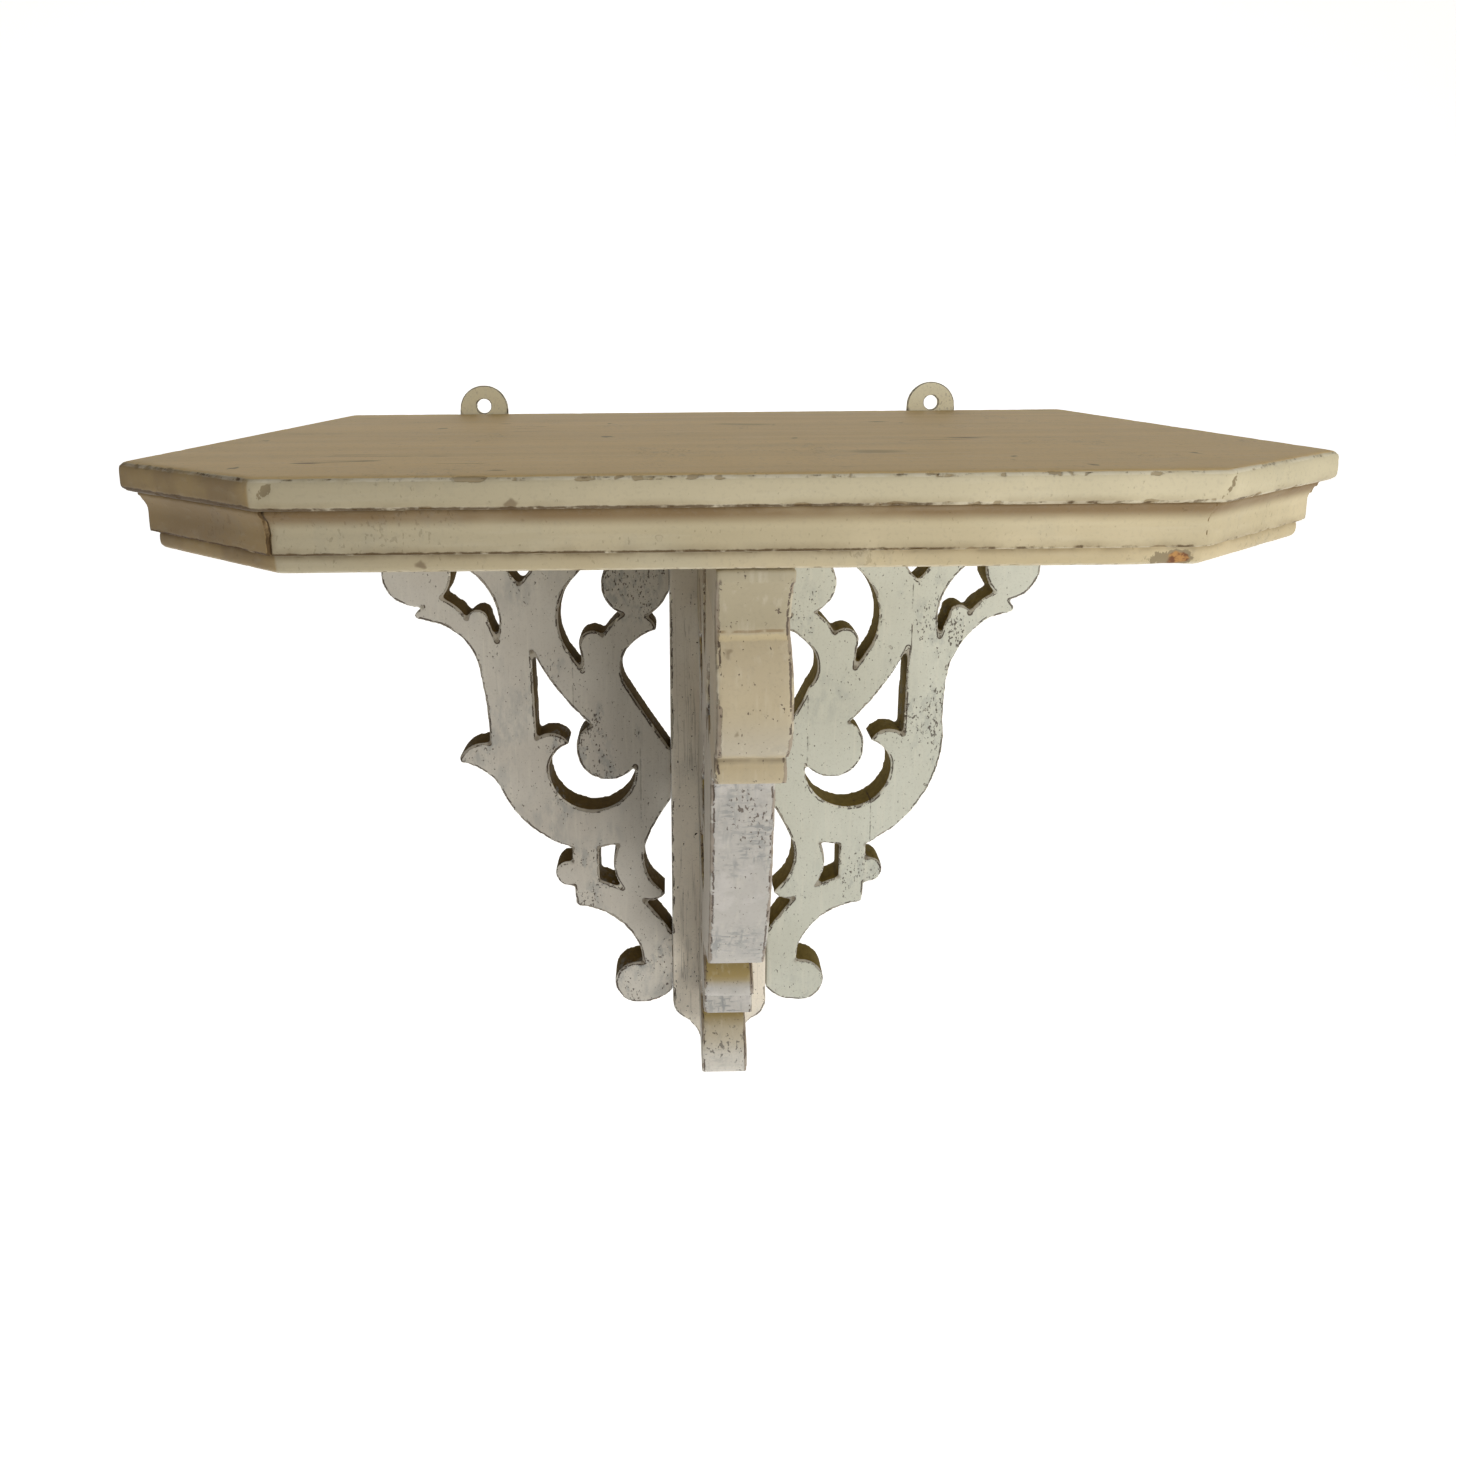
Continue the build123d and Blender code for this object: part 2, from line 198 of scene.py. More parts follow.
def dents_along(coords, arris, shift):
    """0 to 1, in patches along the arrises."""
    dent = np.zeros(len(coords))
    for index in np.flatnonzero(arris < DENT_BAND):
        value = noise.fractal((Vector(coords[index]) + shift) * DENT_PITCH, *DENT_FRACTAL)
        dent[index] = max(0.0, value - 0.12) * 2.2
    return np.clip(dent, 0.0, 1.0) * np.clip(1.0 - arris / DENT_BAND, 0.0, 1.0)


def write_value(mesh, name, values):
    layer = mesh.attributes.new(name, "FLOAT", "POINT")
    layer.data.foreach_set("value", np.ascontiguousarray(values, dtype=np.float32))


def worn(
    node, name, material, voxel, chip=0.6 * MM, sharp=CORNER_ANGLE, rounded=False, seed=0.0, extra=None
):
    """A dense, worn copy of a CAD node: softened arrises, small dents, wear attributes."""
    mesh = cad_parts[node].data.copy()
    mesh.materials.clear()
    shell = welded(mesh)
    convex, concave = sharp_points(shell, FACET_ANGLE if rounded else sharp, rounded)
    convex, concave = sort_by_contact(node, convex, concave)
    shell.to_mesh(mesh)
    shell.free()

    fine = voxel_mesh(mesh, name, voxel)
    coords = relax(fine, read_vectors(fine, "co"), rounds=2)
    fine.vertices.foreach_set("co", coords.ravel())
    fine.update()
    normals = read_vectors(fine, "normal")
    arris = distance_to(convex, coords)
    crease = distance_to(concave, coords)

    shift = Vector((seed, 0.7 * seed, -0.4 * seed))
    dent = dents_along(coords, arris, shift)
    wave = np.array([noise.noise((Vector(place) + shift) * WAVE_PITCH) for place in coords])
    depth = chip * dent + WAVE_DEPTH * (0.5 + 0.5 * wave)
    coords -= normals * depth[:, None]
    if extra:
        coords, marks = extra(coords, normals)
        for label, values in marks.items():
            write_value(fine, label, values)
    low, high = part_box(node)
    coords = np.clip(coords, np.array(low), np.array(high))
    fine.vertices.foreach_set("co", coords.ravel())
    write_value(fine, "arris", arris)
    write_value(fine, "crease", crease)
    write_value(fine, "dent", dent)
    fine.polygons.foreach_set("use_smooth", np.ones(len(fine.polygons), dtype=bool))
    fine.update()
    fine.materials.append(material)
    piece = add_object(name, fine)
    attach(piece, "root")
    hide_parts(node)
    return piece


# ---------------------------------------------------------------- material helpers
def tone(red, green, blue):
    """Linear colour from 0-255 display values."""
    parts = [value / 255.0 for value in (red, green, blue)]
    return tuple(p / 12.92 if p <= 0.04045 else ((p + 0.055) / 1.055) ** 2.4 for p in parts)


class Graph:
    """Short names for building one material."""

    def __init__(self, name):
        self.material = bpy.data.materials.new(name)
        self.material.use_nodes = True
        self.tree = self.material.node_tree
        self.tree.nodes.clear()
        coordinates = self.add("ShaderNodeTexCoord")
        self.place = coordinates.outputs["Object"]
        self.facing = self.add("ShaderNodeSeparateXYZ", {0: coordinates.outputs["Normal"]}).outputs
        self.xyz = self.add("ShaderNodeSeparateXYZ", {0: self.place}).outputs

    def add(self, kind, inputs=None, **settings):
        node = self.tree.nodes.new(kind)
        for key, value in settings.items():
            setattr(node, key, value)
        for key, value in (inputs or {}).items():
            self.feed(node.inputs[key], value)
        return node

    def feed(self, socket, value):
        if isinstance(value, bpy.types.NodeSocket):
            self.tree.links.new(value, socket)
        elif isinstance(value, tuple) and len(value) == 3 and socket.type == "RGBA":
            socket.default_value = (*value, 1.0)
        else:
            socket.default_value = value

    def math(self, operation, a, b=0.0):
        return self.add("ShaderNodeMath", {0: a, 1: b}, operation=operation).outputs[0]

    def vector(self, operation, inputs):
        return self.add("ShaderNodeVectorMath", inputs, operation=operation).outputs[0]

    def chain(self, operation, values):
        result = values[0]
        for value in values[1:]:
            result = self.math(operation, result, value)
        return result

    def times(self, *values):
        return self.chain("MULTIPLY", values)

    def plus(self, *values):
        return self.chain("ADD", values)

    def most(self, *values):
        return self.chain("MAXIMUM", values)

    def minus(self, a, b):
        return self.math("SUBTRACT", a, b)

    def magnitude(self, value):
        return self.math("ABSOLUTE", value)

    def ramp(self, value, low, high):
        """0 at low, 1 at high, smooth between; low may be the larger."""
        inputs = {0: value, 1: low, 2: high, 3: 0.0, 4: 1.0}
        return self.add("ShaderNodeMapRange", inputs, interpolation_type="SMOOTHSTEP").outputs[0]

    def line(self, value, centre, half):
        """1 at centre, 0 at half away from it."""
        return self.ramp(self.magnitude(self.minus(value, centre)), half, 0.35 * half)

    def mix(self, factor, a, b):
        return self.add("ShaderNodeMix", {0: factor, 6: a, 7: b}, data_type="RGBA").outputs[2]

    def moved(self, stretch, seed):
        inputs = {0: self.place, 1: (seed, seed * 1.7, -seed), 3: stretch}
        return self.add("ShaderNodeMapping", inputs).outputs[0]

    def noise(self, scale, stretch=(1, 1, 1), detail=3.0, rough=0.55, warp=0.0, seed=0.0):
        inputs = {"Vector": self.moved(stretch, seed), "Scale": scale, "Detail": detail}
        inputs.update({"Roughness": rough, "Distortion": warp})
        return self.add("ShaderNodeTexNoise", inputs).outputs[0]

    def cells(self, scale, seed, wobble, stretch=(1, 1, 1)):
        """Distance to the nearest of scattered points, and two random numbers for each."""
        vector = self.moved(stretch, seed)
        jitter_inputs = {"Vector": vector, "Scale": scale * 3.0, "Detail": 2.0}
        jitter = self.add("ShaderNodeTexNoise", jitter_inputs).outputs[1]
        centred = self.vector("SUBTRACT", {0: jitter, 1: (0.5, 0.5, 0.5)})
        scaled = self.vector("SCALE", {0: centred, 3: wobble / scale})
        vector = self.vector("ADD", {0: vector, 1: scaled})
        node = self.add("ShaderNodeTexVoronoi", {"Vector": vector, "Scale": scale})
        random = self.add("ShaderNodeSeparateColor", {0: node.outputs["Color"]})
        return node.outputs["Distance"], random.outputs[0], random.outputs[1]

    def attribute(self, name):
        return self.add("ShaderNodeAttribute", attribute_name=name).outputs["Fac"]

    def finish(self, colour, roughness, height, depth, **constants):
        bump = self.add("ShaderNodeBump", {"Height": height, "Distance": depth, "Strength": 1.0})
        shader = self.add("ShaderNodeBsdfPrincipled")
        self.feed(shader.inputs["Base Color"], colour)
        self.feed(shader.inputs["Roughness"], roughness)
        self.tree.links.new(bump.outputs[0], shader.inputs["Normal"])
        for key, value in constants.items():
            shader.inputs[key.replace("_", " ")].default_value = value
        output = self.add("ShaderNodeOutputMaterial")
        self.tree.links.new(shader.outputs[0], output.inputs[0])
        return self.material


# ---------------------------------------------------------------- old paint
WEAR_LINE = tone(66, 52, 42)
UNDERCOAT = tone(148, 138, 122)
SMUDGE = tone(124, 131, 134)
BONE = tone(236, 230, 212)
SPOT = tone(120, 102, 78)
JOINT_SHADE = tone(122, 100, 68)
GRIME = tone(84, 70, 48)

# How a paint looks; each finish below changes some of these
USUAL = {
    "tint": None,            # function that changes the colour over the piece
    "sawn": None,            # colour of the sawn edges, where it differs
    "grain": (1, 1, 0.07),   # noise stretch that makes the brush marks long
    "streaks": 0.2,          # pale brush marks
    "specks": 1.0,           # dark pepper, pits and ring-shaped chips
    "smudges": 1.0,          # grey rubs and bloom
    "spots": 0.0,            # larger soiled blotches
    "wear": 1.0,             # how much of the arrises is down to the undercoat
    "edge": 5.5,             # mm from an arris that its wear reaches
    "inset": 0.36,           # place and half width of the dark line, as parts of edge
    "thick": 0.14,
    "gate": 0.5,             # the higher, the more broken the dark line
    "rims": 1.0,             # dark rims round the worn patches
    "highlight": 0.75,       # painted highlight right on the arris, where it catches the light
    "clean_above": None,     # above this height the arrises are whole
    "line": WEAR_LINE,
    "under": UNDERCOAT,
    "cracks": 0.0,           # long cracks along upright grain
    "seams": 0.0,            # open glue seams and mitres
    "lines": 0.0,            # paint lost beside the joints of the shelf, with painted shade along them
    "dirt": 1.0,             # grime in the hollows
    "specular": 0.3,
}


def wood_colour(g, along, seed):
    """Aged bare softwood: long grain, pores and dirt."""
    rings = g.noise(70.0, along, detail=5.0, rough=0.6, warp=1.2, seed=seed)
    pores = g.noise(420.0, along, detail=3.0, rough=0.6, seed=seed + 2.0)
    stains = g.noise(9.0, detail=4.0, seed=seed + 4.0)
    colour = g.mix(g.ramp(rings, 0.35, 0.68), tone(158, 124, 84), tone(96, 70, 44))
    colour = g.mix(g.times(g.ramp(pores, 0.5, 0.75), 0.5), colour, tone(70, 50, 32))
    colour = g.mix(g.times(g.ramp(stains, 0.5, 0.75), 0.45), colour, tone(88, 78, 64))
    return colour, g.plus(rings, g.times(pores, 0.6))


class OldPaint(Graph):
    """Old brushed paint on wood, laid down in layers; each method adds its own."""

    def __init__(self, name, seed, light, dark, **changes):
        super().__init__(name)
        self.seed = seed
        self.look = SimpleNamespace(**{**USUAL, **changes})
        self.arris = self.attribute("arris")
        self.mottle = self.noise(45.0, detail=4.0, seed=seed + 1.0)
        self.ragged = self.noise(170.0, detail=4.0, rough=0.65, seed=seed + 13.0)
        self.dashes = self.noise(95.0, detail=4.0, rough=0.65, seed=seed + 15.0)
        self.saw = self.noise(300.0, detail=3.0, seed=seed + 7.0)
        self.fine = self.noise(520.0, detail=2.0, seed=seed + 2.0)
        self.brush = self.noise(260.0, self.look.grain, detail=3.0, seed=seed + 3.0)
        self.ground(light, dark)
        self.sawn_edges()
        speck = self.specks()
        if self.look.spots:
            self.soiled_spots()
        ring = self.ring_chips()
        worn_through, marks = self.worn_arrises(speck, ring)
        if self.look.cracks:
            marks = self.most(marks, self.long_cracks())
        if self.look.seams:
            marks = self.most(marks, self.open_seams())
        if self.look.lines:
            marks = self.most(marks, self.joint_lines())
        self.grime_in_hollows()
        self.bare_spots()
        back, ring_height = self.bare_back()

        fine_relief = self.plus(self.times(self.fine, 0.22), self.times(self.brush, 0.35))
        relief = self.plus(fine_relief, self.times(self.mottle, 0.5))
        chips = (self.times(worn_through, -0.8), self.times(marks, -1.0), self.times(ring, -0.5))
        height = self.plus(relief, *chips)
        sawn_relief = self.times(self.edge_face, self.saw, 0.8)
        height = self.plus(height, sawn_relief, self.times(back, ring_height, 0.8))
        bare = (self.times(worn_through, 0.2), self.times(back, 0.2))
        rough = self.plus(0.5, self.times(self.mottle, 0.12), *bare)
        rough = self.plus(rough, self.times(self.edge_face, 0.35))
        self.finish(self.colour, rough, height, 0.25 * MM, Specular_IOR_Level=self.look.specular)

    def cover(self, amount, colour):
        self.colour = self.mix(amount, self.colour, colour)

    def unsteady(self, distance, amount):
        """A distance made ragged by up to half the amount either way."""
        return self.plus(distance, self.times(self.minus(self.ragged, 0.5), amount))

    def ground(self, light, dark):
        """Two shades of paint, tinted over the piece, with brush marks and rubs."""
        broad = self.noise(7.0, detail=3.0, seed=self.seed)
        self.colour = self.mix(self.ramp(broad, 0.35, 0.65), light, dark)
        self.cover(self.times(self.ramp(self.mottle, 0.4, 0.75), 0.3), dark)
        if self.look.tint:
            self.colour = self.look.tint(self, self.colour)
        self.cover(self.times(self.ramp(self.fine, 0.5, 0.75), 0.16), UNDERCOAT)
        self.cover(self.times(self.ramp(self.brush, 0.52, 0.78), self.look.streaks), BONE)
        smear = self.noise(150.0, (1, 1, 0.4), detail=4.0, rough=0.6, seed=self.seed + 6.0)
        where = self.ramp(self.noise(16.0, detail=3.0, seed=self.seed + 5.0), 0.5, 0.68)
        self.cover(self.times(where, self.ramp(smear, 0.4, 0.64), 0.3 * self.look.smudges), SMUDGE)

    def sawn_edges(self):
        """The sawn faces of a fretted board, which don't face front or back; their darker colour is partly
        their own dirtier paint, partly painted shade.
        """
        self.edge_face = 0.0
        sawn = self.look.sawn
        if sawn:
            self.edge_face = self.ramp(self.magnitude(self.facing[1]), 0.6, 0.3)
            darker = tuple(0.75 * part for part in sawn)
            self.cover(self.edge_face, self.mix(self.ramp(self.saw, 0.35, 0.75), sawn, darker))

    def specks(self):
        """Pepper and pits, mostly in clusters with a grey bloom."""
        cluster_field = self.noise(17.0, (1, 1, 0.75), detail=3.0, rough=0.6, seed=self.seed + 8.0)
        cluster = self.ramp(cluster_field, 0.53, 0.66)
        bloom_field = self.noise(150.0, (1, 1, 0.5), detail=4.0, rough=0.65, seed=self.seed + 19.0)
        bloom = (self.ramp(cluster_field, 0.5, 0.64), self.ramp(bloom_field, 0.48, 0.62))
        self.cover(self.times(*bloom, self.look.smudges, 0.4), SMUDGE)
        pepper = self.noise(620.0, (1, 1, 0.6), detail=2.0, rough=0.5, seed=self.seed + 9.0)
        needed = self.minus(0.695, self.times(cluster, 0.105))
        dot = self.ramp(self.minus(pepper, needed), 0.0, 0.035)
        distance, pick, size = self.cells(210.0, self.seed + 10.0, 0.9, stretch=(1, 1, 0.6))
        radius = self.plus(-0.02, self.times(size, 0.26))
        pit = self.ramp(self.minus(distance, radius), 0.05, -0.02)
        in_cluster = self.times(cluster, self.ramp(pick, 0.6, 0.62))
        chosen = self.most(in_cluster, self.ramp(pick, 0.965, 0.97))
        return self.times(self.most(dot, self.times(pit, chosen)), self.look.specks)

    def soiled_spots(self):
        distance, pick, size = self.cells(44.0, self.seed + 18.0, 0.5)
        gap = self.minus(distance, self.plus(0.02, self.times(size, 0.11)))
        spot = self.times(self.ramp(gap, 0.05, -0.03), self.ramp(pick, 0.66, 0.68), self.look.spots)
        self.cover(self.times(spot, 0.75), SPOT)

    def ring_chips(self):
        """Small round chips with a dark rim."""
        distance, pick, size = self.cells(58.0, self.seed + 11.0, 0.35)
        gap = self.minus(distance, self.plus(0.03, self.times(size, 0.08)))
        chosen = self.times(self.ramp(pick, 0.86, 0.88), self.look.specks)
        ring = self.times(self.line(gap, 0.0, 0.02), chosen, self.ramp(self.saw, 0.4, 0.5))
        hollow = self.times(self.ramp(gap, 0.0, -0.02), chosen)
        self.cover(self.times(hollow, 0.4), UNDERCOAT)
        return ring

    def worn_arrises(self, speck, ring):
        """A painted highlight right on the arris, a broken dark line inside it, patches of undercoat; then
        the dark marks.
        """
        look = self.look
        reach = look.edge * MM
        patch = self.noise(34.0, detail=2.0, seed=self.seed + 14.0)
        closeness = self.ramp(self.arris, reach, 0.4 * MM)
        rubbed = (self.times(closeness, 0.5), self.times(self.ragged, 0.55), self.times(patch, 0.75))
        field = self.plus(*rubbed, self.times(self.attribute("dent"), 0.3))
        limit = 1.35 - 0.27 * look.wear
        self.open_to_wear = self.less_on_sawn_edges()
        if look.clean_above is not None:
            below = self.ramp(self.xyz[2], look.clean_above - 3 * MM, look.clean_above - 7 * MM)
            self.open_to_wear = self.times(self.open_to_wear, below)
        near = self.times(self.ramp(closeness, 0.02, 0.15), self.open_to_wear)
        worn_through = self.times(self.ramp(field, limit, limit + 0.03), near)
        rim = self.times(self.line(field, limit, 0.022), near, look.rims)
        broken = self.times(self.ramp(self.dashes, look.gate, look.gate + 0.025), self.open_to_wear)
        wander = self.unsteady(self.arris, 0.4 * reach)
        thin = self.times(self.line(wander, look.inset * reach, look.thick * reach), broken)
        steady = self.ramp(self.dashes, 0.7, 0.4)
        # Painted highlight where the arris catches the light
        arris_highlight = self.times(self.ramp(self.arris, 0.3 * reach, 0.16 * reach), steady, self.open_to_wear)
        self.cover(self.times(arris_highlight, look.highlight), BONE)
        self.cover(self.times(worn_through, 0.7), look.under)
        self.cover(self.times(self.most(rim, thin), 0.9), look.line)
        self.cover(self.times(self.most(speck, ring), 0.8), look.line)
        return worn_through, self.most(rim, thin, speck)

    def less_on_sawn_edges(self):
        if self.look.sawn:
            return self.minus(1.0, self.times(self.edge_face, 0.9))
        return 1.0

    def long_cracks(self):
        amount = self.look.cracks
        fibre = self.noise(150.0, (1, 1, 0.03), detail=3.0, seed=self.seed + 16.0)
        where = self.ramp(self.noise(13.0, (1, 1, 0.4), detail=3.0, seed=self.seed + 17.0), 0.46, 0.56)
        crack = self.times(self.line(fibre, 0.5, 0.012), where, amount)
        self.cover(self.times(crack, 0.8), WEAR_LINE)
        self.cover(self.times(self.line(fibre, 0.535, 0.02), where, 0.3 * amount), BONE)
        return crack

    def open_seams(self):
        gap = self.unsteady(self.attribute("seam"), 1.6 * MM)
        seam = self.times(self.line(gap, 0.0, 0.9 * MM), self.ramp(self.dashes, 0.44, 0.52), self.look.seams)
        self.cover(self.times(seam, 0.8), self.look.line)
        return seam

    def joint_lines(self):
        """Lost paint beside a joint, sparser towards the right, and painted shade along the joint."""
        gap = self.unsteady(self.attribute("joint"), 1.8 * MM)
        sparser = self.minus(self.dashes, self.times(self.ramp(self.xyz[0], -0.05, 0.2), 0.17))
        lost = self.times(self.ramp(gap, 1.2 * MM, 0.5 * MM), self.ramp(sparser, 0.3, 0.46), self.look.lines)
        # Painted shade on both sides of the joint
        self.cover(self.times(self.ramp(gap, 5.0 * MM, 0.0), self.ramp(self.mottle, 0.2, 0.7), 0.45), JOINT_SHADE)
        self.cover(self.times(lost, 0.85), self.look.line)
        return lost

    def grime_in_hollows(self):
        deep = self.ramp(self.attribute("crease"), 3.5 * MM, 0.3 * MM)
        grime = self.times(deep, self.ramp(self.mottle, 0.3, 0.6), self.look.dirt)
        if self.look.clean_above is not None:
            grime = self.times(grime, self.open_to_wear)
        self.cover(self.times(grime, 0.65), GRIME)

    def bare_spots(self):
        """Knocked places show grey undercoat, and wood where they are deepest."""
        bare = self.attribute("bare")
        frayed = self.noise(330.0, (1.0, 1.0, 0.5), detail=4.0, rough=0.7, seed=self.seed + 22.0)
        spot = self.ramp(self.plus(bare, self.times(self.minus(frayed, 0.5), 1.3)), 0.36, 0.44)
        wood = self.mix(self.ramp(self.saw, 0.4, 0.6), tone(184, 138, 84), tone(120, 80, 56))
        self.cover(spot, self.mix(self.ramp(bare, 0.55, 0.75), tone(148, 134, 106), wood))

    def bare_back(self):
        """The faces against the wall were never painted, apart from runs over their edges."""
        wood, ring_height = wood_colour(self, self.look.grain, self.seed + 20.0)
        runs = self.noise(60.0, detail=4.0, seed=self.seed + 21.0)
        away = self.minus(self.arris, self.times(runs, 7.0 * MM))
        at_wall = self.ramp(self.xyz[1], -4 * MM, -2 * MM)
        behind = self.times(self.ramp(self.facing[1], 0.55, 0.75), at_wall)
        back = self.times(behind, self.ramp(away, -1.6 * MM, -0.8 * MM))
        self.cover(back, wood)
        return back, ring_height


# ---------------------------------------------------------------- tints that change over a piece
BLOCK_FOOT = -87 * MM     # heights on the bracket's front edge
LEDGE_FOOT = -148 * MM
SWEEP_TOP = -172 * MM
SCROLL_TOP = -495 * MM


def bracket_tint(g, colour):
    """Duller on the plain block with a painted glint below its foot, whiter and smudged below the ledge;
    painted shade makes the upper faces a yellower olive and the flat sides darker.
    """
    z = g.xyz[2]
    front = g.ramp(g.facing[1], -0.3, -0.7)

    block = g.ramp(z, BLOCK_FOOT - 3 * MM, BLOCK_FOOT + 3 * MM)
    colour = g.mix(g.times(block, 0.85), colour, tone(176, 166, 140))
    wavering = g.plus(z, g.times(g.noise(90.0, seed=81.0), 2.4 * MM))
    glint = g.line(wavering, BLOCK_FOOT - 1.7 * MM, 1.6 * MM)
    colour = g.mix(g.times(glint, 0.5), colour, tone(226, 208, 164))
    broken = g.ramp(g.noise(120.0, seed=82.0), 0.35, 0.5)
    fold = g.times(g.line(wavering, BLOCK_FOOT + 0.8 * MM, 1.0 * MM), broken)
    colour = g.mix(g.times(fold, 0.6), colour, tone(136, 108, 68))

    above_ledge = g.ramp(z, LEDGE_FOOT + 33 * MM, LEDGE_FOOT + 8 * MM)
    greyer = g.times(above_ledge, g.ramp(z, LEDGE_FOOT - 2 * MM, LEDGE_FOOT + 2 * MM))
    colour = g.mix(g.times(greyer, 0.6), colour, tone(184, 177, 160))

    low = g.ramp(z, SWEEP_TOP + 4 * MM, SWEEP_TOP - 4 * MM)
    colour = g.mix(low, colour, tone(192, 188, 181))
    across = g.ramp(g.noise(130.0, (1.0, 1.0, 3.5), detail=4.0, seed=77.0), 0.5, 0.62)
    upright = g.ramp(g.noise(90.0, (3.0, 1.0, 0.6), detail=4.0, seed=79.0), 0.52, 0.64)
    where = g.ramp(g.noise(20.0, seed=78.0), 0.4, 0.58)
    blot = g.times(low, front, g.most(across, upright), where)
    colour = g.mix(g.times(blot, 0.6), colour, tone(112, 118, 122))
    pale = g.times(low, g.ramp(g.noise(60.0, detail=4.0, seed=80.0), 0.5, 0.66))
    colour = g.mix(g.times(pale, 0.4), colour, tone(214, 209, 204))

    lower = g.ramp(z, LEDGE_FOOT - 2 * MM, LEDGE_FOOT - 32 * MM)
    # Painted shade: upper faces below the ledge are a yellower olive
    shaded_upper_face = g.times(g.ramp(g.facing[2], 0.0, 0.65), lower)
    colour = g.mix(shaded_upper_face, colour, tone(166, 145, 93))
    scroll = g.times(g.ramp(z, SCROLL_TOP + 25 * MM, SCROLL_TOP - 25 * MM), front)
    colour = g.mix(g.times(scroll, 0.6), colour, tone(232, 226, 212))
    pits = g.ramp(g.noise(330.0, detail=2.0, seed=83.0), 0.6, 0.64)
    pits = g.times(pits, g.ramp(g.noise(45.0, seed=84.0), 0.42, 0.56))
    colour = g.mix(g.times(pits, scroll, 0.75), colour, tone(92, 86, 80))
    # Painted shade: the flat sides are darker
    side = g.ramp(g.magnitude(g.facing[0]), 0.5, 0.8)
    return g.mix(g.times(side, 0.6), colour, tone(150, 136, 112))


def post_tint(g, colour):
    """Paler towards the tail."""
    return g.mix(g.times(g.ramp(g.xyz[2], -0.2, -0.38), 0.8), colour, tone(246, 236, 218))


def top_tint(g, colour):
    """The upper face is a darker taupe, painted shade for the light that falls low across it, with faint
    lengthwise streaks, scratches and stains.
    """
    streak = g.noise(60.0, (0.05, 1.0, 1.0), detail=4.0, seed=61.0)
    # Painted shade: the upward faces are a darker taupe than the band
    top_shade_and_marks = g.mix(g.ramp(streak, 0.35, 0.7), tone(225, 194, 137), tone(216, 186, 131))
    field = g.noise(55.0, (0.07, 1.0, 1.0), detail=2.0, seed=62.0)
    where = g.ramp(g.noise(14.0, (0.8, 1.0, 1.0), detail=3.0, seed=63.0), 0.6, 0.64)
    scratch = g.times(g.line(field, 0.5, 0.012), where)
    top_shade_and_marks = g.mix(g.times(scratch, 0.8), top_shade_and_marks, tone(92, 62, 26))
    stain = g.ramp(g.noise(16.0, (0.4, 1.0, 1.0), detail=2.0, seed=64.0), 0.66, 0.7)
    top_shade_and_marks = g.mix(g.times(stain, 0.4), top_shade_and_marks, tone(128, 112, 74))
    return g.mix(g.ramp(g.facing[2], 0.75, 0.93), cant_dirt_and_shade(g, painted_shade_leftwards(g, colour)), top_shade_and_marks)


# Dirtier brown paint of the left cant, with painted shade in it
CANT_SHADED_LIGHT = tone(172, 147, 105)
CANT_SHADED_DARK = tone(152, 129, 95)


def cant_dirt_and_shade(g, colour):
    """Faces turned to the left are a darker brown: partly dirtier paint, partly painted shade for the side
    turned away from the light.
    """
    patch = g.ramp(g.noise(30.0, detail=3.0, seed=93.0), 0.4, 0.65)
    # Painted shade and dirtier paint on faces turned to the left
    on_cant = g.ramp(g.facing[0], -0.12, -0.3)
    return g.mix(g.times(on_cant, 0.95), colour, g.mix(patch, CANT_SHADED_LIGHT, CANT_SHADED_DARK))


def painted_shade_leftwards(g, colour):
    """Painted shade: the band is duller and greener towards the left, where less light reaches it."""
    duller = g.mix(0.75, colour, tone(186, 174, 146))
    return g.mix(g.ramp(g.xyz[0], 0.2, -0.25), colour, duller)


def moulding_tint(g, colour):
    """A thin grey-green veil in places, and painted shade in the hollow right below the top's overhang."""
    veil = g.ramp(g.noise(12.0, (0.5, 1, 1.5), detail=3.0, seed=91.0), 0.5, 0.66)
    veiled = g.mix(g.times(veil, 0.35), colour, tone(190, 192, 176))
    colour = cant_dirt_and_shade(g, painted_shade_leftwards(g, veiled))
    patches = g.ramp(g.noise(26.0, (0.5, 1, 1), detail=3.0, seed=95.0), 0.3, 0.6)
    # Painted shade under the top's overhang, in patches
    depth = g.ramp(g.xyz[2], TOP_LOW[2] - 10 * MM, TOP_LOW[2] - 3 * MM)
    shade_below_top = g.times(depth, g.plus(0.4, g.times(patches, 0.45)))
    return g.mix(shade_below_top, colour, tone(120, 94, 60))


# ---------------------------------------------------------------- other materials
def steel(name, seed, light, dark):
    """Old dull steel with rust in patches."""
    g = Graph(name)
    patch = g.noise(160.0, detail=4.0, seed=seed)
    fine = g.noise(1500.0, detail=3.0, seed=seed + 1.0)
    colour = g.mix(g.ramp(patch, 0.4, 0.65), light, dark)
    colour = g.mix(g.times(g.ramp(fine, 0.5, 0.7), 0.5), colour, tone(112, 66, 36))
    rough = g.plus(0.35, g.times(patch, 0.4))
    return g.finish(colour, rough, g.plus(patch, fine), 0.08 * MM, Metallic=0.85)


def bare_wood(name, seed, along):
    g = Graph(name)
    colour, height = wood_colour(g, along, seed)
    rough = g.plus(0.65, g.times(height, 0.1))
    return g.finish(colour, rough, height, 0.25 * MM, Specular_IOR_Level=0.3)


